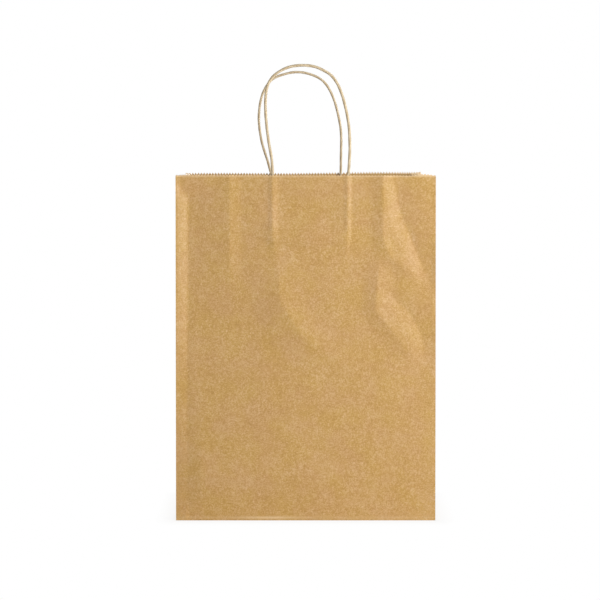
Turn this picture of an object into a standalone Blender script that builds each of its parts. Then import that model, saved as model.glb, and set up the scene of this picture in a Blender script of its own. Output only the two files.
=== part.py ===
# Kraft paper carrier bag: a folded and glued body with a serrated mouth, side gussets and a block
# bottom, and two twisted-paper handles, each glued between two paper patches inside its panel.
# Metres, +Z up. The bag stands on z = 0 about the Z axis, and its front panel faces -Y.
import math

import bmesh
import bpy
from mathutils import Vector

# Body
BAG_WIDTH = 0.260
BAG_DEPTH = 0.120
BAG_HEIGHT = 0.345
PAPER = 0.0002
BELLY = 0.003
BASE_CREASE_DENT = 0.0008
SEAM_LAP = 0.018
FLAP_LAP = 0.030

# How far the mouth's corners are drawn in, and the further pull of the back's right corner
MOUTH_DRAW = {"front": 0.0013, "back": 0.0033}
CORNER_PULL = 0.0045
PULL_WIDTH = 0.035

# Inward tuck of each gusset's centre crease, at the top of the base triangle and at the mouth
TUCK_AT_BASE = {"left": 0.0025, "right": 0.0040}
TUCK_AT_MOUTH = {"left": 0.010, "right": 0.018}

# Serrated mouth
TOOTH_PITCH = 0.0025
TOOTH_DEPTH = 0.0017

# Handles and their patches
CORD_DIAMETER = 0.0032
LEG_SPACING = 0.0755
LEG_LENGTH = 0.058
LOOP_HEIGHT = 0.1103
PATCH_LENGTH = 0.152
PATCH_HEIGHT = 0.058
PATCH_DROP = 0.004
PATCH_CENTRE = {"front": 0.0045, "back": 0.0003}
LEG_RIDGE = 0.0006
RIDGE_HALF_WIDTH = 0.005
CORD_STEP = 0.008

CORNER_FADE = 0.004

# Clearance between glued pieces, the sink of a glued ply into the sheet under it, and the mesh's cells
GLUE_LINE = 0.0003
PLY_SINK = 0.00005
CELL = 0.020
FRONT_CELL = 0.0125

# The loops as they stand, each point as a share of the leg spacing and of the loop height
FRONT_LOOP = [
    (-0.503, 0.014), (-0.512, 0.094), (-0.518, 0.166), (-0.536, 0.246), (-0.553, 0.317), (-0.568, 0.397),
    (-0.578, 0.469), (-0.588, 0.549), (-0.594, 0.630), (-0.592, 0.701), (-0.576, 0.781), (-0.538, 0.847),
    (-0.464, 0.907), (-0.366, 0.950), (-0.270, 0.976), (-0.154, 0.988), (-0.049, 0.988), (0.066, 0.976),
    (0.164, 0.949), (0.266, 0.907), (0.340, 0.843), (0.388, 0.779), (0.430, 0.702), (0.458, 0.632),
    (0.484, 0.553), (0.503, 0.473), (0.515, 0.401), (0.521, 0.319), (0.523, 0.247), (0.519, 0.166),
    (0.512, 0.094), (0.504, 0.014),
]
BACK_LOOP = [
    (-0.508, 0.019), (-0.534, 0.088), (-0.571, 0.166), (-0.603, 0.236), (-0.631, 0.306), (-0.654, 0.387),
    (-0.667, 0.459), (-0.670, 0.531), (-0.664, 0.613), (-0.648, 0.684), (-0.619, 0.755), (-0.568, 0.828),
    (-0.502, 0.885), (-0.412, 0.922), (-0.297, 0.948), (-0.192, 0.963), (-0.084, 0.965), (0.022, 0.954),
    (0.137, 0.926), (0.230, 0.890), (0.306, 0.837), (0.367, 0.766), (0.408, 0.698), (0.442, 0.628),
    (0.470, 0.547), (0.489, 0.475), (0.503, 0.402), (0.510, 0.320), (0.511, 0.247), (0.508, 0.174),
    (0.503, 0.093), (0.501, 0.020),
]
LOOPS = {"front": FRONT_LOOP, "back": BACK_LOOP}

# Worked out from the sizes above
FACING = {"front": -1, "back": 1, "left": -1, "right": 1}
HALF_WIDTH = BAG_WIDTH / 2
HALF_DEPTH = BAG_DEPTH / 2
BASE_FOLD = HALF_DEPTH
PATCH_TOP = BAG_HEIGHT - PATCH_DROP
PATCH_BOTTOM = PATCH_TOP - PATCH_HEIGHT
CORD_RADIUS = CORD_DIAMETER / 2
HUMP_CROWN = 0.85 * CORD_RADIUS
LEG_END = BAG_HEIGHT - LEG_LENGTH
BASE_PLIES = 2
SHEET_BOTTOM = BASE_PLIES * PAPER

# Depth behind the panel's outer face of each layer glued inside it
PATCH_BASE_DEPTH = PAPER + GLUE_LINE
PATCH_COVER_DEPTH = PATCH_BASE_DEPTH + PAPER + GLUE_LINE
CORD_DEPTH = PATCH_COVER_DEPTH + CORD_RADIUS

# Creases of the front panel where it has been folded and handled. Each is measured from an edge, a leg or
# an end of the patch: points down it as offset across, drop below the rim and rise, then how far its left
# and right flanks run out.
FRONT_MARKS = {
    "left": -HALF_WIDTH,
    "patch_left": PATCH_CENTRE["front"] - PATCH_LENGTH / 2,
    "leg_left": PATCH_CENTRE["front"] - LEG_SPACING / 2,
    "leg_right": PATCH_CENTRE["front"] + LEG_SPACING / 2,
    "patch_right": PATCH_CENTRE["front"] + PATCH_LENGTH / 2,
    "right": HALF_WIDTH,
}
FRONT_CREASES = [
    ("left", [(0.0, 0.0, 0.0), (0.0113, 0.0238, -0.0018), (0.0113, 0.110, -0.0017),
              (0.0113, 0.175, -0.0003)], 0.0113, 0.050),
    ("patch_left", [(-0.0046, 0.0, 0.0012), (-0.0046, 0.075, 0.0009), (-0.0035, 0.110, 0.0)], 0.035, 0.012),
    ("leg_left", [(-0.00015, 0.0, 0.0010), (-0.00015, 0.053, 0.0010), (0.00325, 0.085, 0.0005),
                  (0.01825, 0.110, 0.0002), (0.05775, 0.155, 0.0)], 0.009, 0.013),
    ("leg_right", [(-0.00035, 0.0, 0.0008), (-0.00075, 0.064, 0.0008), (-0.00225, 0.095, 0.0)], 0.018, 0.0045),
    ("patch_right", [(-0.0034, 0.0, 0.0022), (-0.0034, 0.050, 0.0022), (-0.006, 0.075, 0.0015),
                     (-0.0085, 0.1344, 0.0)], 0.024, 0.018),
    ("right", [(-0.0465, 0.054, 0.0), (-0.036, 0.070, 0.0012), (-0.0187, 0.0942, 0.0)], 0.012, 0.012),
    ("right", [(-0.0584, 0.1143, 0.0), (-0.040, 0.140, 0.0010), (-0.0167, 0.1746, 0.0)], 0.020, 0.014),
    ("right", [(-0.0366, 0.0238, 0.0), (-0.025, 0.047, -0.0010), (-0.0118, 0.074, 0.0)], 0.012, 0.012),
]

KRAFT =(0.577, 0.352, 0.137)
KRAFT_CORD = (0.640, 0.440, 0.215)
KRAFT_PATCH = (0.540, 0.320, 0.120)


def empty_scene():
    for obj in list(bpy.data.objects):
        bpy.data.objects.remove(obj, do_unlink=True)


def new_collection(name):
    made = bpy.data.collections.new(name)
    bpy.context.scene.collection.children.link(made)
    return made


def paper_material(name, colour):
    made = bpy.data.materials.new(name)
    made.use_nodes = True
    shader = made.node_tree.nodes["Principled BSDF"]
    shader.inputs["Base Color"].default_value = (*colour, 1.0)
    shader.inputs["Roughness"].default_value = 0.85
    shader.inputs["Metallic"].default_value = 0.0
    return made


def smooth_step(share):
    share = min(max(share, 0.0), 1.0)
    return share * share * (3 - 2 * share)


# How far a gusset's centre crease is tucked in at a height
def tuck(end, z):
    low, high = TUCK_AT_BASE[end], TUCK_AT_MOUTH[end]
    if z < BASE_FOLD:
        return low * z / BASE_FOLD
    return low + (high - low) * smooth_step((z - BASE_FOLD) / (BAG_HEIGHT - BASE_FOLD))


# A half gusset keeps its width, so a tucked gusset draws its two corners together
def corner_reach(end, z):
    return math.sqrt(HALF_DEPTH ** 2 - tuck(end, z) ** 2)


def leg_places(side):
    return [PATCH_CENTRE[side] - LEG_SPACING / 2, PATCH_CENTRE[side] + LEG_SPACING / 2]


# Ridge that a buried handle leg presses into the panel
def leg_ridge(side, x, z):
    nearest = min(abs(x - leg) for leg in leg_places(side))
    across = max(0.0, 1 - nearest / RIDGE_HALF_WIDTH)
    return LEG_RIDGE * across * smooth_step((z - LEG_END) / RIDGE_HALF_WIDTH)


# How far a crease stands out at a place: a sharp ridge or valley whose two flanks run out softly
def crease_rise(x, z, crease):
    mark, points, reach_left, reach_right = crease
    here, nearest, rise, turn = Vector((x - FRONT_MARKS[mark], z - BAG_HEIGHT)), BAG_HEIGHT, 0.0, 1.0
    for (x0, drop0, rise0), (x1, drop1, rise1) in zip(points, points[1:]):
        start, along = Vector((x0, -drop0)), Vector((x1 - x0, drop0 - drop1))
        share = min(max((here - start).dot(along) / along.length_squared, 0.0), 1.0)
        off = here - start - along * share
        if off.length < nearest:
            nearest, rise = off.length, rise0 + (rise1 - rise0) * share
            turn = along.cross(off)
    reach = reach_right if turn > 0 else reach_left
    return rise * max(0.0, 1 - nearest / reach) ** 1.3


# Belly of a panel, the front's creases, and the back's crease where the flat-packed bottom folds up
def panel_swell(side, x, z):
    swell = BELLY * (1 - (x / HALF_WIDTH) ** 2) * math.sin(math.pi * min(z / BAG_HEIGHT, 1))
    if side == "back":
        return swell - BASE_CREASE_DENT * max(0.0, 1 - abs(z - BASE_FOLD) / (BASE_FOLD / 3))
    creased = sum(crease_rise(x, z, crease) for crease in FRONT_CREASES)
    return swell + creased * smooth_step((HALF_WIDTH - abs(x)) / CORNER_FADE)


# Where a place across a panel comes to lie as the mouth's corners are drawn in
def drawn_in(side, x, z):
    rise = z / BAG_HEIGHT
    pull = CORNER_PULL * smooth_step((x - HALF_WIDTH + PULL_WIDTH) / PULL_WIDTH) if side == "back" else 0.0
    return x - (MOUTH_DRAW[side] * x / HALF_WIDTH + pull) * rise


# A point on, or at a depth behind, the outer face of the front or back panel
def panel_point(side, x, z, depth=0.0, ridged=True):
    share = x / BAG_WIDTH + 0.5
    reach = corner_reach("left", z) * (1 - share) + corner_reach("right", z) * share
    reach += panel_swell(side, x, z) - depth
    if ridged:
        reach += leg_ridge(side, x, z)
    return Vector((drawn_in(side, x, z), FACING[side] * reach, z))


# A point on a gusset: the base triangle leans in as one plane, and above it two halves meet at the crease
def gusset_point(end, across, z):
    reach = corner_reach(end, z)
    from_corner = HALF_DEPTH - abs(across)
    slope_width = min(z, HALF_DEPTH) if z > 0 else HALF_DEPTH
    inward = tuck(end, z) * min(1.0, from_corner / slope_width)
    share = across / BAG_DEPTH + 0.5
    front, back = (drawn_in(side, FACING[end] * HALF_WIDTH, z) for side in ("front", "back"))
    return Vector((front + (back - front) * share - FACING[end] * inward, reach * across / HALF_DEPTH, z))


def wall_width(wall):
    return BAG_WIDTH if wall in ("front", "back") else BAG_DEPTH


# Each wall is cut flat about its own centre line, and this is its place once folded
def folded(wall, across, z):
    if wall in ("front", "back"):
        return panel_point(wall, -FACING[wall] * across, z)
    return gusset_point(wall, FACING[wall] * across, z)


def evenly(low, high, step):
    count = max(1, round((high - low) / step))
    return [low + (high - low) * i / count for i in range(count + 1)]


# Keeps only lines that stand a little apart, with the first ones given having precedence
def spaced(firm, filling, apart):
    kept = list(firm)
    for value in filling:
        if all(abs(value - other) > apart for other in kept):
            kept.append(value)
    return sorted(kept)


# The mesh's upright lines across a wall, each on a root of a tooth
def wall_columns(wall):
    half = wall_width(wall) / 2
    teeth = 2 * round(half / TOOTH_PITCH)
    pitch = 2 * half / teeth
    firm = [-half, half]
    if wall in ("front", "back"):
        for leg in leg_places(wall):
            for shift in (-RIDGE_HALF_WIDTH, 0.0, RIDGE_HALF_WIDTH):
                firm.append(-FACING[wall] * (leg + shift))
    else:
        firm.append(0.0)
    if wall == "front":
        for mark, points, reach_left, reach_right in FRONT_CREASES:
            if mark in ("left", "patch_left", "patch_right"):
                firm.append(FRONT_MARKS[mark] + points[1][0])
    if wall == "back":
        firm.append(half - SEAM_LAP)
    cell = FRONT_CELL if wall == "front" else CELL
    lines = spaced(firm, evenly(-half, half, cell), cell / 3)
    return sorted({round((line + half) / pitch) for line in lines}), pitch, half


def wall_rows():
    firm = evenly(0.0, BASE_FOLD, CELL) + [LEG_END, LEG_END + RIDGE_HALF_WIDTH, BAG_HEIGHT - TOOTH_DEPTH]
    return spaced(firm, evenly(BASE_FOLD, BAG_HEIGHT, FRONT_CELL * 1.2), FRONT_CELL / 2)


# The same lines between two edges of a smaller piece
def lines_between(lines, low, high):
    return [low] + [line for line in lines if low + CELL / 20 < line < high - CELL / 20] + [high]


# A flat grid whose lines stand at the given places across and up
def flat_sheet(columns, rows):
    sheet = bmesh.new()
    bmesh.ops.create_grid(sheet, x_segments=len(columns) - 1, y_segments=len(rows) - 1, size=1.0)
    for vert in sheet.verts:
        i = round((vert.co.x + 1) / 2 * (len(columns) - 1))
        j = round((vert.co.y + 1) / 2 * (len(rows) - 1))
        vert.co = Vector((columns[i], rows[j], 0.0))
    return sheet


# Cuts the teeth of the mouth into the top edge of a flat wall
def serrate(sheet, pitch, half):
    root = BAG_HEIGHT - TOOTH_DEPTH
    top = [e for e in sheet.edges if all(abs(v.co.y - root) < PAPER / 2 for v in e.verts)]
    for edge in top:
        teeth = round(edge.calc_length() / pitch)
        bmesh.ops.subdivide_edges(sheet, edges=[edge], cuts=2 * teeth - 1)
    for vert in sheet.verts:
        if abs(vert.co.y - root) < PAPER / 2 and round((vert.co.x + half) / (pitch / 2)) % 2:
            vert.co.y = BAG_HEIGHT


# Creases a flat gusset along the base triangle's two sides
def crease_base_triangle(sheet):
    for lean in (-1, 1):
        low = [f for f in sheet.faces if f.calc_center_median().y < BASE_FOLD]
        around = {e for f in low for e in f.edges} | {v for f in low for v in f.verts}
        bmesh.ops.bisect_plane(
            sheet, geom=low + list(around), plane_co=(0, BASE_FOLD, 0), plane_no=(1, lean, 0), dist=1e-6
        )


# One wall of the body: cut flat, serrated, creased and folded into place
def folded_wall(wall):
    roots, pitch, half = wall_columns(wall)
    sheet = flat_sheet([root * pitch - half for root in roots], wall_rows())
    serrate(sheet, pitch, half)
    if wall in ("left", "right"):
        crease_base_triangle(sheet)
    for vert in sheet.verts:
        vert.co = folded(wall, vert.co.x, vert.co.y)
        vert.co.z = max(vert.co.z, SHEET_BOTTOM)
    made = bpy.data.meshes.new(f"{wall}_wall")
    sheet.to_mesh(made)
    sheet.free()
    return made


def new_object(name, mesh, collection, material):
    obj = bpy.data.objects.new(name, mesh)
    collection.objects.link(obj)
    mesh.materials.clear()
    mesh.materials.append(material)
    return obj


def solidify(obj, thickness, offset=-1.0):
    wall = obj.modifiers.new("paper", "SOLIDIFY")
    wall.thickness = thickness
    wall.offset = offset
    wall.use_even_offset = True


# A flat glued ply with its top face at a height, drawn as an outline and made a mesh so that it can be joined
def glued_ply(name, outline, low, high, collection):
    curve = bpy.data.curves.new(name, "CURVE")
    curve.dimensions = "2D"
    curve.fill_mode = "BOTH"
    curve.extrude = (high - low) / 2
    spline = curve.splines.new("POLY")
    spline.points.add(len(outline) - 1)
    for point, (x, y) in zip(spline.points, outline):
        point.co = (x, y, 0.0, 1.0)
    spline.use_cyclic_u = True
    drawn = bpy.data.objects.new(name + "_outline", curve)
    drawn.location.z = (low + high) / 2
    collection.objects.link(drawn)
    bpy.context.view_layer.update()
    mesh = bpy.data.meshes.new_from_object(drawn.evaluated_get(bpy.context.evaluated_depsgraph_get()))
    ply = bpy.data.objects.new(name, mesh)
    ply.matrix_world = drawn.matrix_world.copy()
    collection.objects.link(ply)
    bpy.data.objects.remove(drawn, do_unlink=True)
    work = bmesh.new()
    work.from_mesh(mesh)
    bmesh.ops.remove_doubles(work, verts=work.verts, dist=1e-6)
    bmesh.ops.recalc_face_normals(work, faces=work.faces)
    work.to_mesh(mesh)
    work.free()
    ply.hide_render = True
    ply.display_type = "WIRE"
    return ply


# A flap of the block bottom, hinged on the foot of the front or back panel, with mitred ends
def bottom_flap(side, low, high, collection):
    reach = HALF_DEPTH + FLAP_LAP / 2
    face = FACING[side]
    outline = [
        (-HALF_WIDTH, face * HALF_DEPTH),
        (HALF_WIDTH, face * HALF_DEPTH),
        (HALF_WIDTH - reach, face * (HALF_DEPTH - reach)),
        (reach - HALF_WIDTH, face * (HALF_DEPTH - reach)),
    ]
    glued_ply(f"{side}_bottom_flap", outline, low, high, collection)


# The triangle that each gusset folds into on the floor of the bag
def floor_triangle(end, low, high, collection):
    face = FACING[end]
    outline = [
        (face * (HALF_WIDTH - PAPER / 2), -HALF_DEPTH + PAPER),
        (face * (HALF_WIDTH - PAPER / 2), HALF_DEPTH - PAPER),
        (face * (HALF_WIDTH - HALF_DEPTH), 0.0),
    ]
    glued_ply(f"{end}_floor_triangle", outline, low, high, collection)


# The lap that closes the tube: the left gusset's sheet carried round the corner onto the back panel
def seam_lap(collection):
    roots, pitch, half = wall_columns("back")
    lapped = [root * pitch - half for root in roots if root * pitch - half > half - SEAM_LAP - pitch / 2]
    sheet = flat_sheet(lapped, [z for z in wall_rows() if z < PATCH_TOP])
    for vert in sheet.verts:
        vert.co = panel_point("back", -vert.co.x, max(vert.co.y, SHEET_BOTTOM), -PAPER)
    mesh = bpy.data.meshes.new("seam_lap")
    sheet.to_mesh(mesh)
    sheet.free()
    lap = bpy.data.objects.new("seam_lap", mesh)
    collection.objects.link(lap)
    solidify(lap, PAPER + PLY_SINK)
    lap.hide_render = True
    lap.display_type = "WIRE"


# The body: four walls welded along their corners, a floor, the paper's thickness, then the glued plies
def paper_body(collection, plies, material):
    sheet = bmesh.new()
    for wall in ("front", "right", "back", "left"):
        made = folded_wall(wall)
        sheet.from_mesh(made)
        bpy.data.meshes.remove(made)
    bmesh.ops.remove_doubles(sheet, verts=sheet.verts, dist=1e-5)
    foot = [e for e in sheet.edges if e.is_boundary and all(v.co.z < SHEET_BOTTOM + PAPER for v in e.verts)]
    bmesh.ops.contextual_create(sheet, geom=foot)
    bmesh.ops.recalc_face_normals(sheet, faces=sheet.faces)
    mesh = bpy.data.meshes.new("paper_body")
    sheet.to_mesh(mesh)
    sheet.free()
    body = new_object("paper_body", mesh, collection, material)
    solidify(body, PAPER)
    bottom_flap("back", 0.0, PAPER + PLY_SINK, plies)
    bottom_flap("front", PAPER, SHEET_BOTTOM + PLY_SINK, plies)
    for end in ("left", "right"):
        floor_triangle(end, SHEET_BOTTOM + PAPER - PLY_SINK, SHEET_BOTTOM + 2 * PAPER, plies)
    seam_lap(plies)
    joined = body.modifiers.new("glued_plies", "BOOLEAN")
    joined.operation = "UNION"
    joined.solver = "EXACT"
    joined.operand_type = "COLLECTION"
    joined.collection = plies
    return body


# A patch's upright lines: the panel's own between the patch's edges, and those of the humps over the legs
def patch_columns(side, humped):
    middle = -FACING[side] * PATCH_CENTRE[side]
    low, high = middle - PATCH_LENGTH / 2, middle + PATCH_LENGTH / 2
    roots, pitch, half = wall_columns(side)
    lines = lines_between([root * pitch - half for root in roots], low, high)
    if not humped:
        return lines
    firm = [low, high]
    for leg in (middle - LEG_SPACING / 2, middle + LEG_SPACING / 2):
        firm += [leg + mark for mark in (-RIDGE_HALF_WIDTH, -HUMP_CROWN, HUMP_CROWN, RIDGE_HALF_WIDTH)]
    return spaced(firm, lines, HUMP_CROWN)


# A point at a depth behind a panel's flat cells, as a sheet pasted to the cells lies
def cell_point(side, x, z, depth, ridged):
    roots, pitch, half = wall_columns(side)
    lines = [root * pitch - half for root in roots]
    i = max(k for k, line in enumerate(lines[:-1]) if line <= -FACING[side] * x + CELL / 1000 or k == 0)
    share = (-FACING[side] * x - lines[i]) / (lines[i + 1] - lines[i])
    start, end = (panel_point(side, -FACING[side] * line, z, depth, ridged) for line in lines[i:i + 2])
    return start.lerp(end, share)


# A paper patch that follows a panel's inner face, plainly or in humps over the handle's legs
def patch(name, side, humped, collection, material):
    rows = lines_between(wall_rows(), PATCH_BOTTOM, PATCH_TOP)
    sheet = flat_sheet(patch_columns(side, humped), rows)
    for vert in sheet.verts:
        x, z = -FACING[side] * vert.co.x, vert.co.y
        depth = PATCH_COVER_DEPTH + cover_hump(side, x) if humped else PATCH_BASE_DEPTH
        vert.co = cell_point(side, x, z, depth, not humped)
    mesh = bpy.data.meshes.new(name)
    sheet.to_mesh(mesh)
    sheet.free()
    obj = new_object(name, mesh, collection, material)
    solidify(obj, PAPER)
    return obj


# How far the covering patch humps over a handle leg
def cover_hump(side, x):
    nearest = min(abs(x - leg) for leg in leg_places(side))
    rise = min(1.0, max(0.0, (RIDGE_HALF_WIDTH - nearest) / (RIDGE_HALF_WIDTH - HUMP_CROWN)))
    return (CORD_DIAMETER + GLUE_LINE) * rise


# A smooth curve through the points, read off at even steps
def smooth_route(points, step):
    ends = [2 * points[0] - points[1]] + points + [2 * points[-1] - points[-2]]
    fine = []
    for a, b, c, d in zip(ends, ends[1:], ends[2:], ends[3:]):
        for i in range(12):
            t = i / 12
            fine.append(
                0.5 * (2 * b + (c - a) * t + (2 * a - 5 * b + 4 * c - d) * t ** 2
                       + (3 * b - a - 3 * c + d) * t ** 3)
            )
    fine.append(points[-1])
    lengths = [0.0]
    for here, there in zip(fine, fine[1:]):
        lengths.append(lengths[-1] + (there - here).length)
    count = round(lengths[-1] / step)
    route, i = [], 0
    for k in range(count + 1):
        along = lengths[-1] * k / count
        while i < len(fine) - 2 and lengths[i + 1] < along:
            i += 1
        share = (along - lengths[i]) / (lengths[i + 1] - lengths[i])
        route.append(fine[i].lerp(fine[i + 1], share))
    return route


# A handle: straight legs down between the patches, and the loop that stands over the mouth
def handle_cord(side, collection, material):
    left, right = leg_places(side)
    low = LEG_END + RIDGE_HALF_WIDTH
    heights = evenly(low, BAG_HEIGHT, LEG_LENGTH / 3)
    points = [panel_point(side, left, z, CORD_DEPTH) for z in heights]
    end = panel_point(side, right, BAG_HEIGHT, CORD_DEPTH)
    for across, up in LOOPS[side]:
        points.append(points[len(heights) - 1].lerp(end, across + 0.5) + Vector((0.0, 0.0, up * LOOP_HEIGHT)))
    points += [panel_point(side, right, z, CORD_DEPTH) for z in reversed(heights)]
    route = smooth_route(points, CORD_STEP)
    curve = bpy.data.curves.new(f"{side}_handle_cord", "CURVE")
    curve.dimensions = "3D"
    curve.bevel_depth = CORD_RADIUS
    curve.bevel_resolution = 2
    curve.use_fill_caps = True
    spline = curve.splines.new("POLY")
    spline.points.add(len(route) - 1)
    for point, place in zip(spline.points, route):
        point.co = (*place, 1.0)
    cord = bpy.data.objects.new(f"{side}_handle_cord", curve)
    curve.materials.append(material)
    collection.objects.link(cord)
    return cord


def build():
    empty_scene()
    bag = new_collection("paper_carrier_bag")
    plies = new_collection("glued_plies")
    kraft = paper_material("kraft_paper", KRAFT)
    cord_paper = paper_material("twisted_kraft", KRAFT_CORD)
    patch_paper = paper_material("patch_kraft", KRAFT_PATCH)
    paper_body(bag, plies, kraft)
    for side in ("front", "back"):
        patch(f"{side}_patch_base", side, False, bag, patch_paper)
        patch(f"{side}_patch_cover", side, True, bag, patch_paper)
        handle_cord(side, bag, cord_paper)


build()
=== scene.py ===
import math
import bmesh
import bpy
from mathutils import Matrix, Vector, noise


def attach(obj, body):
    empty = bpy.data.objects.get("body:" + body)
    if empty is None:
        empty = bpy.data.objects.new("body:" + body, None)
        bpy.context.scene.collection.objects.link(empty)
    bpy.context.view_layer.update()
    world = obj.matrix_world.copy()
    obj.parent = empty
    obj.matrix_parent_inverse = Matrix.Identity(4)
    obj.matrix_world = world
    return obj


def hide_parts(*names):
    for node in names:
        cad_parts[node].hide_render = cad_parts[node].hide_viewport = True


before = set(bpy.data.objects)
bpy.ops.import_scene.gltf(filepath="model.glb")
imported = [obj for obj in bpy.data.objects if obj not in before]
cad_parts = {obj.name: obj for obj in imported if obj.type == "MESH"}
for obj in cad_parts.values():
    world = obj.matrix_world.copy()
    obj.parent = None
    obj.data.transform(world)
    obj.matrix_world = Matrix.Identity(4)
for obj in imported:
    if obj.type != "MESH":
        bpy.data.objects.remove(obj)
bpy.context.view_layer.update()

bpy.ops.object.select_all(action="DESELECT")
scene = bpy.context.scene
scene.view_settings.view_transform = "Standard"

# The camera stands level with the handles and looks slightly down, square to the front panel
cameraSetup = {
    "place": (-0.0057, -1.7072, 0.3879),
    "pitchDown": 4.3,
    "lens": 100,
    "sensor": 36,
    "shiftY": -0.07,
}


def makeCamera():
    bpy.ops.object.camera_add(location=cameraSetup["place"])
    camera = bpy.context.object
    camera.rotation_euler = (math.radians(90 - cameraSetup["pitchDown"]), 0, 0)
    camera.data.lens = cameraSetup["lens"]
    camera.data.sensor_width = cameraSetup["sensor"]
    camera.data.shift_y = cameraSetup["shiftY"]
    camera.data.clip_end = 50
    scene.camera = camera
    print("camera placed")


makeCamera()

# The bag's own sizes, in metres
bag = {
    "width": 0.260,
    "depth": 0.120,
    "height": 0.345,
    "paper": 0.0002,
    "belly": 0.0018,
    "tuckAtBase": {-1: 0.0025, 1: 0.0040},
    "tuckAtMouth": {-1: 0.010, 1: 0.018},
    "mouthDraw": {-1: 0.0013, 1: 0.0033},     # how far the mouth's corners are drawn in
    "cornerPull": 0.0045,                     # further pull of the back's right corner
    "pullWidth": 0.035,
    "rimLift": {                              # how far each rim rises: place across and height
        -1: ((-0.130, 0.0013), (-0.110, 0.0017), (0.030, 0.0013), (0.108, 0.0012), (0.118, 0.0026),
             (0.1256, 0.0017), (0.130, 0.0008)),
        1: ((-0.130, 0.0006), (-0.110, 0.0009), (-0.080, 0.0009), (-0.020, 0.0006), (0.020, 0.0011),
            (0.046, 0.0014), (0.070, 0.0018), (0.130, 0.0018)),
    },
    "backFoldDent": 0.0008,
    "toothPitch": 0.0031,
    "toothDepth": {-1: 0.0012, 1: 0.0023},
    "frontColumns": 2,          # mesh columns for each tooth of the front panel
    "rows": 128,
    "seamLap": 0.018,
    "flapLap": 0.030,
    "crumple": ((0.070, 0.0007), (0.022, 0.0003)),   # size of the paper's waves and their height
    "crumpleUp": 0.45,          # waves run longer up the panel, by one over this share
    "rimReach": 4,              # power with which the rim's lift grows up the panel
    "cornerFade": 0.02,         # panels lie flat this near their corners and the floor
    "creaseFade": 0.004,
    "creaseFlank": 1.3,         # power that rounds out a crease's flanks
    "backFoldReach": 0.012,
    "gussetFade": 0.015,
    "floorPlyLift": 0.8,        # lift of the floor's triangles, as a share of the paper
    "seamCell": 0.003,
}
halfWidth = bag["width"] / 2
halfDepth = bag["depth"] / 2
baseFold = halfDepth
sheetBottom = 2 * bag["paper"]

handles = {
    "cordDiameter": 0.0032,
    "legSpacing": 0.0755,
    "legLength": 0.058,
    "loopHeight": 0.1103,
    "patchLength": 0.152,
    "patchHeight": 0.058,
    "patchDrop": 0.004,
    "patchCentre": {-1: 0.0045, 1: 0.0003},
    "glueLine": 0.0003,
    "ridge": 0.0006,
    "ridgeHalfWidth": 0.005,
    "ridgeRunOut": 0.008,
    "humpCore": 0.9,            # where a patch starts to fall beside a leg, as a share of the cord's radius
    "patchFoot": 0.006,
    "patchCell": 0.0012,
}
patchTop = bag["height"] - handles["patchDrop"]
patchBottom = patchTop - handles["patchHeight"]
legEnd = bag["height"] - handles["legLength"]
cordRadius = handles["cordDiameter"] / 2
patchBaseDepth = bag["paper"] + handles["glueLine"]
patchCoverDepth = patchBaseDepth + bag["paper"] + handles["glueLine"]
cordDepth = patchCoverDepth + cordRadius

# Creases of the front panel: points along each one as x, z and rise, then its reach to the left and right.
# Points run down or from left to right. On one that runs level, the reaches are below and above it
frontCreases = {
    "leftEdge": ([(-0.130, 0.345, 0), (-0.1180, 0.3212, -0.0042), (-0.1185, 0.205, -0.0037),
                  (-0.1190, 0.150, -0.0020), (-0.1190, 0.020, -0.0006)], 0.0120, 0.150),
    "patchLeft": ([(-0.0761, 0.345, 0.0016), (-0.0761, 0.270, 0.0016), (-0.075, 0.225, 0)], 0.034, 0.012),
    "leftLeg": ([(-0.0334, 0.345, 0.0007), (-0.0330, 0.284, 0.0009), (-0.0310, 0.260, 0)], 0.010, 0.008),
    "rightLeg": ([(0.0419, 0.345, 0.0006), (0.0415, 0.281, 0.0007), (0.040, 0.250, 0)], 0.018, 0.0038),
    "patchRight": ([(0.0769, 0.345, 0.0016), (0.0769, 0.291, 0.0017), (0.0779, 0.279, 0.0018),
                    (0.0848, 0.2649, 0.0017), (0.0998, 0.2538, 0.0014), (0.1137, 0.2438, 0)], 0.014, 0.016),
    "upperValley": ([(0.0868, 0.345, -0.0010), (0.0948, 0.3071, -0.0019), (0.1077, 0.2769, -0.0023),
                     (0.1187, 0.2498, -0.0014), (0.1276, 0.2307, 0)], 0.013, 0.024),
    "lowerRidge": ([(0.0739, 0.2709, 0.0004), (0.0719, 0.2408, 0.0018), (0.0699, 0.2126, 0.0022),
                    (0.0848, 0.1935, 0.0015), (0.0998, 0.1744, 0.0010), (0.1117, 0.1633, 0)], 0.016, 0.016),
    "lowerValley": ([(0.0739, 0.2368, 0), (0.0888, 0.2237, -0.0012), (0.1038, 0.2086, -0.0016),
                     (0.1147, 0.1895, -0.0014), (0.1187, 0.1684, -0.0006), (0.1217, 0.150, 0)], 0.012, 0.020),
    "swath": ([(-0.0290, 0.275, 0.0004), (-0.0256, 0.2207, 0.0022), (-0.0057, 0.1885, 0.0022),
               (0.044, 0.1523, 0.0004)], 0.030, 0.024),
    "patchFoot": ([(-0.030, 0.281, 0.0014), (0.000, 0.281, 0.0020),
                   (0.040, 0.283, 0.0008)], 0.010, 0.024),
    "patchHollow": ([(-0.031, 0.308, -0.0006), (0.000, 0.308, -0.0012),
                     (0.040, 0.308, -0.0006)], 0.012, 0.020),
    "footSwell": ([(-0.130, 0.045, 0), (-0.105, 0.045, 0.0026), (-0.040, 0.042, 0.0022),
                   (0.060, 0.040, 0.0006)], 0.045, 0.110),
}


def smoothStep(share):
    share = min(max(share, 0.0), 1.0)
    return share * share * (3 - 2 * share)


def tuck(end, z):
    low, high = bag["tuckAtBase"][end], bag["tuckAtMouth"][end]
    if z < baseFold:
        return low * z / baseFold
    return low + (high - low) * smoothStep((z - baseFold) / (bag["height"] - baseFold))


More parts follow.
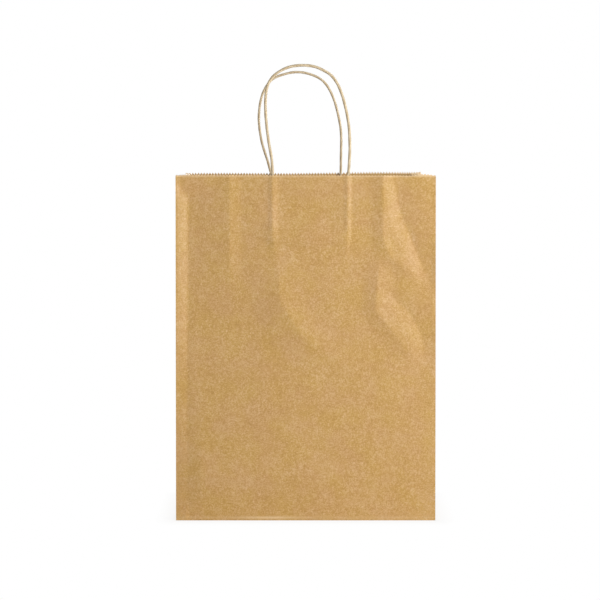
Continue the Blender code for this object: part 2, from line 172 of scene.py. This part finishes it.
def cornerReach(end, z):
    return math.sqrt(halfDepth ** 2 - tuck(end, z) ** 2)   # a half gusset keeps its width


def drawnIn(side, x, z):
    pull = 0.0
    if side > 0:
        pull = bag["cornerPull"] * smoothStep((x - halfWidth + bag["pullWidth"]) / bag["pullWidth"])
    return x - (bag["mouthDraw"][side] * x / halfWidth + pull) * z / bag["height"]


# The mouth isn't quite level: how far a place on a panel is lifted by its rim
def lifted(side, x, z):
    places = bag["rimLift"][side]
    lift = places[0][1]
    for (left, low), (right, high) in zip(places, places[1:]):
        if x >= left:
            lift = low + (high - low) * min((x - left) / (right - left), 1.0)
    return z + lift * (z / bag["height"]) ** bag["rimReach"]


def legPlaces(side):
    middle = handles["patchCentre"][side]
    return [middle - handles["legSpacing"] / 2, middle + handles["legSpacing"] / 2]


# A crease is a ridge with a sharp top, whose two flanks run out softly
def creaseRise(x, z, crease):
    points, reachLeft, reachRight = crease
    here, nearest, rise, side = Vector((x, z)), 1.0, 0.0, 1.0
    for (x0, z0, rise0), (x1, z1, rise1) in zip(points, points[1:]):
        start, along = Vector((x0, z0)), Vector((x1 - x0, z1 - z0))
        share = min(max((here - start).dot(along) / along.length_squared, 0.0), 1.0)
        off = here - start - along * share
        if off.length < nearest:
            nearest, rise = off.length, rise0 + (rise1 - rise0) * share
            side = along.cross(off)
    reach = reachRight if side > 0 else reachLeft
    return rise * max(0.0, 1 - nearest / reach) ** bag["creaseFlank"]


def waves(x, z, seed):
    total = 0.0
    for size, height in bag["crumple"]:
        total += height * noise.noise(Vector((x / size, z / size * bag["crumpleUp"], seed)))
    return total


# How far a panel swells out: its belly, creases, the waves of the paper, and the back's cross fold
def panelSwell(side, x, z, ridged):
    rise = min(max(z / bag["height"], 0.0), 1.0)
    swell = bag["belly"] * (1 - (x / halfWidth) ** 2) * math.sin(math.pi * rise)
    edge = smoothStep((halfWidth - abs(x)) / bag["cornerFade"]) * smoothStep(z / bag["cornerFade"])
    swell += waves(x, z, side * 7.3) * edge
    if side < 0:
        fade = smoothStep((halfWidth - abs(x)) / bag["creaseFade"])
        swell += sum(creaseRise(x, z, crease) for crease in frontCreases.values()) * fade
    else:
        swell -= bag["backFoldDent"] * max(0.0, 1 - abs(z - baseFold) / bag["backFoldReach"]) * edge
    if ridged:
        nearest = min(abs(x - leg) for leg in legPlaces(side))
        across = max(0.0, 1 - nearest / handles["ridgeHalfWidth"])
        swell += handles["ridge"] * smoothStep(across) * smoothStep((z - legEnd) / handles["ridgeRunOut"])
    return swell


def panelPoint(side, x, z, depth=0.0, ridged=True):
    share = x / bag["width"] + 0.5
    reach = cornerReach(-1, z) * (1 - share) + cornerReach(1, z) * share
    swell = panelSwell(side, x, z, ridged)
    return Vector((drawnIn(side, x, z), side * (reach + swell - depth), lifted(side, x, z)))


def gussetPoint(end, y, z):
    share = y / bag["depth"] + 0.5
    fromCorner = halfDepth - abs(y)
    slope = max(min(z, halfDepth), 1e-6)
    inward = tuck(end, z) * min(1.0, fromCorner / slope)
    fade = smoothStep(fromCorner / bag["gussetFade"]) * smoothStep(z / bag["cornerFade"])
    inward -= waves(y, z, end * 3.1) * fade
    x = end * halfWidth
    x = drawnIn(-1, x, z) * (1 - share) + drawnIn(1, x, z) * share
    high = lifted(-1, end * halfWidth, z) * (1 - share) + lifted(1, end * halfWidth, z) * share
    return Vector((x - end * inward, cornerReach(end, z) * (2 * share - 1), high))


# Editing helpers
def beginEdit(piece):
    bpy.context.view_layer.objects.active = piece
    piece.select_set(True)
    bpy.ops.object.mode_set(mode="EDIT")
    bpy.ops.mesh.select_all(action="DESELECT")


def endEdit():
    bpy.ops.object.mode_set(mode="OBJECT")


def choose(piece, kind, test):
    bpy.ops.mesh.select_mode(type=kind)
    work = bmesh.from_edit_mesh(piece.data)
    items = {"VERT": work.verts, "EDGE": work.edges, "FACE": work.faces}[kind]
    for item in items:
        item.select_set(test(item))
    work.select_flush_mode()
    bmesh.update_edit_mesh(piece.data)


def lone(piece):
    bpy.ops.object.select_all(action="DESELECT")
    piece.select_set(True)
    bpy.context.view_layer.objects.active = piece


def thicken(piece, thickness):
    lone(piece)
    wall = piece.modifiers.new("paper", "SOLIDIFY")
    wall.thickness = thickness
    wall.offset = -1
    wall.use_even_offset = True
    bpy.ops.object.modifier_apply(modifier=wall.name)


def addBox(name, low, high):
    centre = [(a + b) / 2 for a, b in zip(low, high)]
    bpy.ops.mesh.primitive_cube_add(size=1, location=centre)
    box = bpy.context.object
    box.name = name
    box.scale = [b - a for a, b in zip(low, high)]
    bpy.ops.object.transform_apply(location=True, rotation=False, scale=True)
    return box


def edgesAlong(axis):
    def test(edge):
        way = edge.verts[0].co - edge.verts[1].co
        return abs(way[axis]) > 0.99 * way.length
    return test


# Cuts the chosen edges into equal parts, in rounds of few cuts, because the operator takes 100 at most
def cutInto(piece, parts, test):
    for step in (8, 1):
        if parts % step == 0:
            rounds = [parts // step, step]
            break
    for cuts in rounds:
        if cuts > 1:
            choose(piece, "EDGE", test)
            bpy.ops.mesh.subdivide(number_cuts=cuts - 1)


def onFront(item):
    return all(v.co.y < 1e-5 - halfDepth for v in item.verts)


# The body starts as an open box, cut into a grid with a column for each tooth, and is then folded
def foldBody():
    size = (bag["width"], bag["depth"], bag["height"] - bag["toothDepth"][1])
    frontStretch = (bag["height"] - bag["toothDepth"][-1]) / size[2]
    body = addBox("kraftBody", (-halfWidth, -halfDepth, 0), (halfWidth, halfDepth, size[2]))
    beginEdit(body)
    choose(body, "FACE", lambda f: abs(f.normal.z) > 0.9)
    bpy.ops.mesh.delete(type="ONLY_FACE")
    cutInto(body, bag["rows"], edgesAlong(2))
    teeth = [2 * round(size[axis] / bag["toothPitch"] / 2) for axis in (0, 1)]
    for axis in (0, 1):
        cutInto(body, teeth[axis], edgesAlong(axis))
    cutInto(body, bag["frontColumns"], lambda e: edgesAlong(0)(e) and onFront(e))
    choose(body, "EDGE", lambda e: all(v.co.z < 1e-5 for v in e.verts))
    bpy.ops.mesh.edge_face_add()
    choose(body, "EDGE", lambda e: all(v.co.z > size[2] - 1e-5 for v in e.verts) and not onFront(e))
    bpy.ops.mesh.subdivide(number_cuts=1)

    def isTip(vert):
        axis = 0 if abs(abs(vert.co.y) - halfDepth) < 1e-5 else 1
        halfTeeth = round(vert.co[axis] / size[axis] * teeth[axis] * 2)
        return abs(vert.co.z - size[2]) < 1e-5 and halfTeeth % 2 == 1

    choose(body, "VERT", lambda v: isTip(v) and v.co.y < 1e-5 - halfDepth)
    bpy.ops.transform.translate(value=(0, 0, bag["toothDepth"][-1] / frontStretch))
    choose(body, "VERT", lambda v: isTip(v) and v.co.y > 1e-5 - halfDepth)
    bpy.ops.transform.translate(value=(0, 0, bag["toothDepth"][1]))
    endEdit()
    for vert in body.data.vertices:
        x, y, z = vert.co
        if abs(abs(y) - halfDepth) < 1e-5:
            vert.co = panelPoint(1, x, z) if y > 0 else panelPoint(-1, x, z * frontStretch)
        elif abs(abs(x) - halfWidth) < 1e-5:
            vert.co = gussetPoint(1 if x > 0 else -1, y, z)
        vert.co.z = max(vert.co.z, sheetBottom)
    thicken(body, bag["paper"])
    return body


# A glued flap of the block bottom, seen from below, with mitred ends
def bottomFlap(side, low, high):
    reach = halfDepth + bag["flapLap"] / 2
    ys = sorted((side * halfDepth, side * (halfDepth - reach)))
    flap = addBox("bottomFlap", (-halfWidth, ys[0], low), (halfWidth, ys[1], high))
    beginEdit(flap)
    choose(flap, "VERT", lambda v: side * v.co.y < 0)
    narrow = (halfWidth - reach) / halfWidth
    bpy.ops.transform.resize(value=(narrow, 1, 1), center_override=(0, 0, 0))
    endEdit()
    return flap


# The triangle that each gusset folds into on the floor of the bag
def floorTriangle(end):
    low = sheetBottom + bag["paper"] * bag["floorPlyLift"]
    xs = sorted((end * (halfWidth - bag["paper"]), end * (halfWidth - halfDepth)))
    inner = halfDepth - bag["paper"]
    triangle = addBox("floorTriangle", (xs[0], -inner, low), (xs[1], inner, low + bag["paper"]))
    beginEdit(triangle)
    choose(triangle, "VERT", lambda v: end * v.co.x < halfWidth - halfDepth / 2)
    bpy.ops.transform.resize(value=(1, 0, 1), center_override=(0, 0, 0))
    choose(triangle, "VERT", lambda v: True)
    bpy.ops.mesh.remove_doubles(threshold=1e-5)
    endEdit()
    return triangle


# A flat strip of paper cut into a grid and laid where place() says, for the patches and the lap seam
def paperStrip(name, across, up, cell, place, thickness):
    columns = max(2, round((across[1] - across[0]) / cell))
    rows = max(2, round((up[1] - up[0]) / cell))
    bpy.ops.mesh.primitive_grid_add(x_subdivisions=columns, y_subdivisions=rows, size=2)
    strip = bpy.context.object
    strip.name = name
    for vert in strip.data.vertices:
        x = across[0] + (vert.co.x + 1) / 2 * (across[1] - across[0])
        z = up[0] + (vert.co.y + 1) / 2 * (up[1] - up[0])
        vert.co = place(x, z)
    thicken(strip, thickness)
    return strip


def joined(pieces, name):
    bpy.ops.object.select_all(action="DESELECT")
    for piece in pieces:
        piece.select_set(True)
    bpy.context.view_layer.objects.active = pieces[0]
    bpy.ops.object.join()
    pieces[0].name = name
    return pieces[0]


def shadeSoft(piece, degrees):
    lone(piece)
    bpy.ops.object.shade_smooth_by_angle(angle=math.radians(degrees))


def makeBody():
    body = foldBody()
    plies = [
        bottomFlap(1, 0, bag["paper"]),
        bottomFlap(-1, bag["paper"], sheetBottom),
        floorTriangle(-1),
        floorTriangle(1),
        paperStrip(
            "seamLap", (halfWidth - bag["seamLap"], halfWidth), (sheetBottom, patchTop), bag["seamCell"],
            lambda x, z: panelPoint(1, -x, z, -bag["paper"]), bag["paper"],
        ),
    ]
    body = joined([body] + plies, "kraftBody")
    shadeSoft(body, 28)
    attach(body, "root")
    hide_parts("paper_body")
    print("body folded:", len(body.data.polygons), "faces")
    return body


# How far the covering patch humps over a handle leg, rounded as pasted paper is
def coverHump(side, x):
    nearest = min(abs(x - leg) for leg in legPlaces(side))
    core = cordRadius * handles["humpCore"]
    share = (nearest - core) / (handles["ridgeHalfWidth"] - core)
    return (handles["cordDiameter"] + handles["glueLine"]) * (1 - smoothStep(share))


def makePatches():
    made = []
    for side, word in ((-1, "front"), (1, "back")):
        middle = -side * handles["patchCentre"][side]
        across = (middle - handles["patchLength"] / 2, middle + handles["patchLength"] / 2)
        for layer in ("base", "cover"):
            def place(x, z):
                x = -side * x
                if layer == "base":
                    return panelPoint(side, x, z, patchBaseDepth)
                foot = smoothStep((z - patchBottom) / handles["patchFoot"])
                return panelPoint(side, x, z, patchCoverDepth + coverHump(side, x) * foot, False)
            name, up = f"{word}Patch{layer.title()}", (patchBottom, patchTop)
            piece = paperStrip(name, across, up, handles["patchCell"], place, bag["paper"])
            shadeSoft(piece, 40)
            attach(piece, "root")
            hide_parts(f"{word}_patch_{layer}")
            made.append(piece)
    print("patches laid:", len(made))
    return made


# The handle loops, each point as a share of the leg spacing and of the loop height
frontLoop = [
    (-0.495, 0.014), (-0.505, 0.094), (-0.514, 0.166), (-0.535, 0.246), (-0.553, 0.317), (-0.568, 0.397),
    (-0.578, 0.469), (-0.588, 0.549), (-0.594, 0.630), (-0.592, 0.701), (-0.576, 0.781), (-0.538, 0.847),
    (-0.464, 0.907), (-0.366, 0.950), (-0.270, 0.976), (-0.154, 0.988), (-0.049, 0.988), (0.066, 0.976),
    (0.164, 0.949), (0.266, 0.907), (0.340, 0.843), (0.388, 0.779), (0.430, 0.702), (0.458, 0.632),
    (0.484, 0.553), (0.503, 0.473), (0.515, 0.401), (0.521, 0.319), (0.523, 0.247), (0.519, 0.166),
    (0.512, 0.094), (0.504, 0.014),
]
backLoop = [
    (-0.508, 0.019), (-0.534, 0.088), (-0.571, 0.166), (-0.603, 0.236), (-0.631, 0.306), (-0.654, 0.387),
    (-0.667, 0.459), (-0.670, 0.531), (-0.664, 0.613), (-0.648, 0.684), (-0.619, 0.755), (-0.568, 0.828),
    (-0.502, 0.885), (-0.412, 0.922), (-0.297, 0.948), (-0.192, 0.963), (-0.084, 0.965), (0.022, 0.954),
    (0.137, 0.926), (0.230, 0.890), (0.306, 0.837), (0.367, 0.766), (0.408, 0.698), (0.442, 0.628),
    (0.470, 0.547), (0.489, 0.475), (0.503, 0.402), (0.510, 0.320), (0.511, 0.247), (0.508, 0.174),
    (0.503, 0.093), (0.501, 0.020),
]
cord = {
    "sides": 28,
    "ringStep": 0.0006,
    "twistPitch": 0.026,    # length of one turn of a ply
    "plies": 2,
    "plyStep": 0.08,        # depth of the spiral step, as a share of the radius
    "plyBack": 0.18,        # share of a ply's turn that falls back steeply
    "fullness": {-1: 0.91, 1: 0.84},     # mean thickness of the twisted paper, as a share of the cord's
    "lumps": (0.012, 0.05),              # length of the lumps and their height as a share of the radius
    "wander": (0.02, 0.0003),            # length of the cord's wavering and how far it goes
}


def routeOf(side, loop):
    left, right = legPlaces(side)
    low = legEnd + handles["ridgeHalfWidth"]
    heights = [low + (bag["height"] - low) * i / 3 for i in range(4)]
    points = [panelPoint(side, left, z, cordDepth) for z in heights]
    start, end = points[-1], panelPoint(side, right, bag["height"], cordDepth)
    for across, up in loop:
        point = start.lerp(end, across + 0.5)
        point.z = bag["height"] + up * handles["loopHeight"]
        points.append(point)
    points += [panelPoint(side, right, z, cordDepth) for z in reversed(heights)]
    return points


def smoothRoute(points, step):
    ends = [2 * points[0] - points[1]] + points + [2 * points[-1] - points[-2]]
    fine = []
    for a, b, c, d in zip(ends, ends[1:], ends[2:], ends[3:]):
        for i in range(16):
            t = i / 16
            fine.append(0.5 * (2 * b + (c - a) * t + (2 * a - 5 * b + 4 * c - d) * t ** 2
                               + (3 * b - a - 3 * c + d) * t ** 3))
    fine.append(points[-1])
    for _ in range(30):
        fine = [fine[0]] + [(a + 2 * b + c) / 4 for a, b, c in zip(fine, fine[1:], fine[2:])] + [fine[-1]]
    lengths = [0.0]
    for here, there in zip(fine, fine[1:]):
        lengths.append(lengths[-1] + (there - here).length)
    count = 8 * round(lengths[-1] / step / 8)
    route, i = [], 0
    for k in range(count + 1):
        along = lengths[-1] * k / count
        while i < len(fine) - 2 and lengths[i + 1] < along:
            i += 1
        route.append(fine[i].lerp(fine[i + 1], (along - lengths[i]) / (lengths[i + 1] - lengths[i])))
    return route, lengths[-1]


# A handle is a plain cylinder, twisted into paper plies and then led along its route
def makeHandle(side, word, loop):
    route, length = smoothRoute(routeOf(side, loop), cord["ringStep"])
    rings = len(route) - 1
    (lumpLength, lumpHeight), (wanderLength, wanderReach) = cord["lumps"], cord["wander"]
    bpy.ops.mesh.primitive_cylinder_add(vertices=cord["sides"], radius=1, depth=2, end_fill_type="TRIFAN")
    handle = bpy.context.object
    handle.name = f"{word}Handle"
    beginEdit(handle)
    cutInto(handle, rings, edgesAlong(2))
    endEdit()
    mesh = handle.data
    groove = mesh.attributes.new("groove", "FLOAT", "POINT")
    frames = []
    outward = Vector((0, 1, 0))
    for i in range(rings + 1):
        way = (route[min(i + 1, rings)] - route[max(i - 1, 0)]).normalized()
        outward = (outward - way * outward.dot(way)).normalized()
        frames.append((route[i], outward.copy(), way.cross(outward)))
    # Painted shade: each point's depth in the groove between the plies, which the cord's material darkens
    shade = [0.0] * len(mesh.vertices)
    for vert in mesh.vertices:
        x, y, z = vert.co
        i = min(max(round((z + 1) / 2 * rings), 0), rings)
        along = i * length / rings
        angle = math.atan2(y, x)
        turn = (angle / (2 * math.pi) * cord["plies"] - along / cord["twistPitch"] * cord["plies"]) % 1.0
        lift = min(turn / (1 - cord["plyBack"]), (1 - turn) / cord["plyBack"])
        wobble = noise.noise(Vector((along / lumpLength, side * 5.0, angle / 6))) * lumpHeight
        full = cord["fullness"][side] - cord["plyStep"] * (1 - lift) + wobble
        radius = cordRadius * full * math.hypot(x, y)
        centre, across, upward = frames[i]
        drift = Vector((noise.noise(Vector((along / wanderLength, 1.7, side))), 0,
                        noise.noise(Vector((along / wanderLength, 9.1, side))))) * wanderReach
        vert.co = centre + drift + (across * math.cos(angle) + upward * math.sin(angle)) * radius
        shade[vert.index] = 1 - lift
    groove.data.foreach_set("value", shade)
    beginEdit(handle)
    choose(handle, "VERT", lambda v: True)
    bpy.ops.mesh.normals_make_consistent(inside=False)
    endEdit()
    shadeSoft(handle, 50)
    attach(handle, "root")
    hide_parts(f"{word}_handle_cord")
    print(f"{word} handle twisted, {length * 1000:.0f} mm of cord")
    return handle


# Shader maths: a socket that takes part in Python expressions
class Field:
    def __init__(self, tree, socket):
        self.tree = tree
        self.socket = socket

    def maths(self, operation, other=0.0, swap=False, clamp=False):
        node = self.tree.nodes.new("ShaderNodeMath")
        node.operation = operation
        node.use_clamp = clamp
        pair = (other, self) if swap else (self, other)
        for slot, value in zip(node.inputs, pair):
            if isinstance(value, Field):
                self.tree.links.new(value.socket, slot)
            else:
                slot.default_value = value
        return Field(self.tree, node.outputs[0])

    def __add__(self, other):
        return self.maths("ADD", other)

    __radd__ = __add__

    def __mul__(self, other):
        return self.maths("MULTIPLY", other)

    __rmul__ = __mul__

    def __sub__(self, other):
        return self.maths("SUBTRACT", other)

    def __rsub__(self, other):
        return self.maths("SUBTRACT", other, swap=True)

    def __truediv__(self, other):
        return self.maths("DIVIDE", other)

    def __pow__(self, other):
        return self.maths("POWER", other)

    def above(self, edge, soft):
        return ((self - edge) / soft).maths("ADD", 0.5, clamp=True)

    def size(self):
        return self.maths("ABSOLUTE")


# What the camera sees itself, in a mirror or through glass, and not as light on the bag
def seenIn(tree):
    path = tree.nodes.new("ShaderNodeLightPath")
    seen = Field(tree, path.outputs["Is Camera Ray"])
    for ray in ("Is Glossy Ray", "Is Transmission Ray"):
        seen = seen.maths("MAXIMUM", Field(tree, path.outputs[ray]))
    return seen


class Finish:
    def __init__(self, name):
        self.material = bpy.data.materials.new(name)
        self.material.use_nodes = True
        self.tree = self.material.node_tree
        self.shader = self.tree.nodes["Principled BSDF"]

    # Any node that isn't plain maths: its settings first, then the values or links of its sockets
    def node(self, kind, settings=None, output=0, **sockets):
        made = self.tree.nodes.new(kind)
        for key, value in (settings or {}).items():
            setattr(made, key, value)
        for key, value in sockets.items():
            slot = made.inputs[int(key[1:])] if key[0] == "i" and key[1:].isdigit() else made.inputs[key]
            if isinstance(value, Field):
                self.tree.links.new(value.socket, slot)
            else:
                slot.default_value = value
        return Field(self.tree, made.outputs[output])

    def place(self):
        return self.node("ShaderNodeTexCoord", output=3)

    def split(self, vector):
        apart = self.tree.nodes.new("ShaderNodeSeparateXYZ")
        self.tree.links.new(vector.socket, apart.inputs[0])
        return [Field(self.tree, out) for out in apart.outputs]

    def stretched(self, vector, scale, turn=(0, 0, 0)):
        return self.node("ShaderNodeMapping", i0=vector, Scale=scale, Rotation=turn)

    def noise(self, vector, scale, detail=3.0, roughness=0.55):
        return self.node(
            "ShaderNodeTexNoise", i0=vector, Scale=scale, Detail=detail, Roughness=roughness
        )

    def blend(self, share, dark, light):
        made = self.tree.nodes.new("ShaderNodeMix")
        made.data_type = "RGBA"
        made.blend_type = "MIX"
        for slot, value in zip((made.inputs[0], made.inputs[6], made.inputs[7]), (share, dark, light)):
            if isinstance(value, Field):
                self.tree.links.new(value.socket, slot)
            elif slot.type == "RGBA":
                slot.default_value = (*value, 1)
            else:
                slot.default_value = value
        return Field(self.tree, made.outputs[2])

    def feed(self, socket, value):
        slot = self.shader.inputs[socket]
        if isinstance(value, Field):
            self.tree.links.new(value.socket, slot)
        else:
            slot.default_value = value

    def bump(self, height, distance, strength=1.0):
        raised = self.node("ShaderNodeBump", Strength=strength, Distance=distance, Height=height)
        self.feed("Normal", raised)


kraft = {
    "dark": (0.385, 0.185, 0.018),
    "golden": (0.544, 0.318, 0.078),
    "rosy": (0.549, 0.311, 0.102),
    "light": (0.730, 0.510, 0.285),
    # pale colour of the raw cut edge and of the painted highlights on the rim and the bottom fold
    "paleEdgeAndHighlight": (0.800, 0.580, 0.320),
    "contrast": 1.6,
    "roughness": 0.48,
    "gloss": 0.75,
    "fibreHeight": 0.00005,
    "tintPatches": 34,          # noise scale of the golden and rosy patches
    "tintSoftness": 0.26,
    # lightening of the rim: paler raw cut edge, plus a painted highlight that grows toward the right
    "rimWearAndHighlight": {"start": 0.0002, "soft": 0.0026, "share": 0.8, "rightHighlightShare": 0.2, "rightFrom": 0.05,
                "rightSoft": 0.04},
    # painted highlight along the bottom fold
    "footHighlight": {"height": 0.0030, "soft": 0.0022, "middle": -0.036, "reach": 0.06, "least": 0.25,
                 "share": 0.8},
    "grain": ((1000, 0.8), (500, 0.62), (200, 0.32), (70, 0.22), (22, 0.2)),    # noise scale and weight
    "fibreScale": 1300,
    "crossedScale": 1200,
    "fibreWeight": 0.5,
}


def kraftFinish(name, tint=1.0):
    finish = Finish(name)
    where = finish.place()
    fibres = finish.stretched(where, (1.0, 1.0, 0.28), (0, 0.5, 0))
    fibres = finish.noise(fibres, kraft["fibreScale"], 2.0, 0.6)
    crossed = finish.stretched(where, (0.3, 0.3, 1.0), (0, -0.35, 0))
    crossed = finish.noise(crossed, kraft["crossedScale"], 2.0, 0.6)
    tone = (fibres - 0.5) * kraft["fibreWeight"] + (crossed - 0.5) * kraft["fibreWeight"]
    for scale, weight in kraft["grain"]:
        tone = tone + (finish.noise(where, scale, 1.0, 0.5) - 0.5) * weight
    lighter = tone.maths("MULTIPLY", kraft["contrast"], clamp=True)
    darker = tone.maths("MULTIPLY", -kraft["contrast"], clamp=True)
    rosiness = finish.noise(where, kraft["tintPatches"], 3.0, 0.6).above(0.5, kraft["tintSoftness"])
    golden, rosy = (tuple(c * tint for c in kraft[word]) for word in ("golden", "rosy"))
    middle = finish.blend(rosiness, golden, rosy)
    colour = finish.blend(darker, finish.blend(lighter, middle, kraft["light"]), kraft["dark"])
    x, y, z = finish.split(where)
    rim, foot = kraft["rimWearAndHighlight"], kraft["footHighlight"]
    # The rim is lightened: its cut edge is paler raw paper, and a painted highlight makes it lighter still
    # toward the right
    edge = z.above(bag["height"] - rim["start"], rim["soft"])
    wornAndLit = x.above(rim["rightFrom"], rim["rightSoft"]) * rim["rightHighlightShare"] + rim["share"]
    colour = finish.blend(edge * wornAndLit, colour, kraft["paleEdgeAndHighlight"])
    # Painted highlight: a light line along the fold just above the floor, strongest left of the middle
    fold = (1 - (z - foot["height"]).size() / foot["soft"]).maths("MAXIMUM", 0.0)
    footHighlightMask = (1 - (x - foot["middle"]).size() / foot["reach"]).maths("MAXIMUM", foot["least"]) * fold
    colour = finish.blend(footHighlightMask * foot["share"], colour, kraft["paleEdgeAndHighlight"])
    finish.feed("Base Color", colour)
    finish.feed("Roughness", kraft["roughness"])
    finish.feed("Specular IOR Level", kraft["gloss"])
    finish.bump(fibres + crossed, kraft["fibreHeight"])
    return finish.material


twisted = {
    "dark": (0.405, 0.287, 0.152),
    "middle": (0.650, 0.513, 0.324),
    "light": (0.830, 0.710, 0.502),
    "roughness": 0.7,
    "gloss": 0.3,
    "mottleScale": 420,
    "fineScale": 1500,
    "paintedGrooveShade": 0.6,
    "paperHeight": 0.00008,
}


def twistedFinish():
    finish = Finish("twistedKraft")
    where = finish.place()
    named = {"attribute_name": "groove", "attribute_type": "GEOMETRY"}
    groove = finish.node("ShaderNodeAttribute", named, output=2)
    mottle = finish.noise(where, twisted["mottleScale"], 3.0, 0.6)
    fine = finish.noise(where, twisted["fineScale"], 2.0, 0.6)
    tone = ((mottle - 0.25) * 1.1).maths("ADD", (fine - 0.5) * 0.5, clamp=True)
    colour = finish.blend(tone, twisted["middle"], twisted["light"])
    # Painted shade: the grooves between the plies are darkened in colour
    colour = finish.blend((groove ** 2.0) * twisted["paintedGrooveShade"], colour, twisted["dark"])
    finish.feed("Base Color", colour)
    finish.feed("Roughness", twisted["roughness"])
    finish.feed("Specular IOR Level", twisted["gloss"])
    finish.bump(fine + mottle, twisted["paperHeight"])
    return finish.material


def dress(piece, material):
    piece.data.materials.clear()
    piece.data.materials.append(material)


# Plain pale floor: white to the camera, with the bag's soft shadow kept
floorSetup = {
    "size": 12,
    "white": (0.86, 0.86, 0.86),
    "roughness": 0.9,
    "glowNear": 0.80,           # how white the floor is at the bag's foot
    "shadowReach": 0.022,
    "shadowFall": 0.5,
}


def makeFloor():
    bpy.ops.mesh.primitive_plane_add(size=floorSetup["size"])
    floor = bpy.context.object
    floor.name = "floor"
    finish = Finish("paleFloor")
    finish.feed("Base Color", (*floorSetup["white"], 1))
    finish.feed("Roughness", floorSetup["roughness"])
    white = finish.node("ShaderNodeEmission", Color=(1, 1, 1, 1), Strength=1.0)
    plain = Field(finish.tree, finish.shader.outputs[0])
    x, y, z = finish.split(finish.place())
    beside = (x.size() - halfWidth).maths("MAXIMUM", 0.0)
    before = (y.size() - halfDepth).maths("MAXIMUM", 0.0)
    away = (beside * beside + before * before).maths("SQRT") / floorSetup["shadowReach"]
    away = away.maths("MINIMUM", 1.0) ** floorSetup["shadowFall"]
    glow = away * (1 - floorSetup["glowNear"]) + floorSetup["glowNear"]
    mixed = finish.node("ShaderNodeMixShader", i0=seenIn(finish.tree) * glow, i1=plain, i2=white)
    out = finish.tree.nodes["Material Output"]
    finish.tree.links.new(mixed.socket, out.inputs["Surface"])
    dress(floor, finish.material)
    print("floor laid")


lamps = {
    "key": {"place": (1.45, -0.95, 0.62), "width": 0.5, "height": 0.4, "power": 25.5},
    "fill": {"place": (-0.70, -1.5, 0.80), "width": 0.9, "height": 0.4, "power": 4},
    "back": {"place": (-0.7, 1.5, 0.50), "width": 1.0, "height": 0.6, "power": 12},
}
lampAim = (0, 0, 0.2)
worldLight = 0.25


def makeLight():
    for name, lamp in lamps.items():
        bpy.ops.object.light_add(type="AREA", location=lamp["place"])
        light = bpy.context.object
        light.name = name + "Lamp"
        light.data.shape = "RECTANGLE"
        light.data.size = lamp["width"]
        light.data.size_y = lamp["height"]
        light.data.energy = lamp["power"]
        aim = Vector(lampAim) - Vector(lamp["place"])
        light.rotation_euler = aim.to_track_quat("-Z", "Y").to_euler()
    world = bpy.data.worlds.new("studio")
    scene.world = world
    world.use_nodes = True
    tree = world.node_tree
    tree.nodes.clear()
    strength = seenIn(tree) * (1.0 - worldLight) + worldLight
    glow = tree.nodes.new("ShaderNodeBackground")
    glow.inputs["Color"].default_value = (1, 1, 1, 1)
    tree.links.new(strength.socket, glow.inputs["Strength"])
    out = tree.nodes.new("ShaderNodeOutputWorld")
    tree.links.new(glow.outputs[0], out.inputs["Surface"])
    print("lamps hung")


frontHandle = makeHandle(-1, "front", frontLoop)
backHandle = makeHandle(1, "back", backLoop)
body = makeBody()
patches = makePatches()
paper = kraftFinish("kraftPaper")
patchPaper = kraftFinish("patchPaper", 0.95)
cordPaper = twistedFinish()
dress(body, paper)
for patch in patches:
    dress(patch, patchPaper)
for handle in (frontHandle, backHandle):
    dress(handle, cordPaper)
makeFloor()
makeLight()
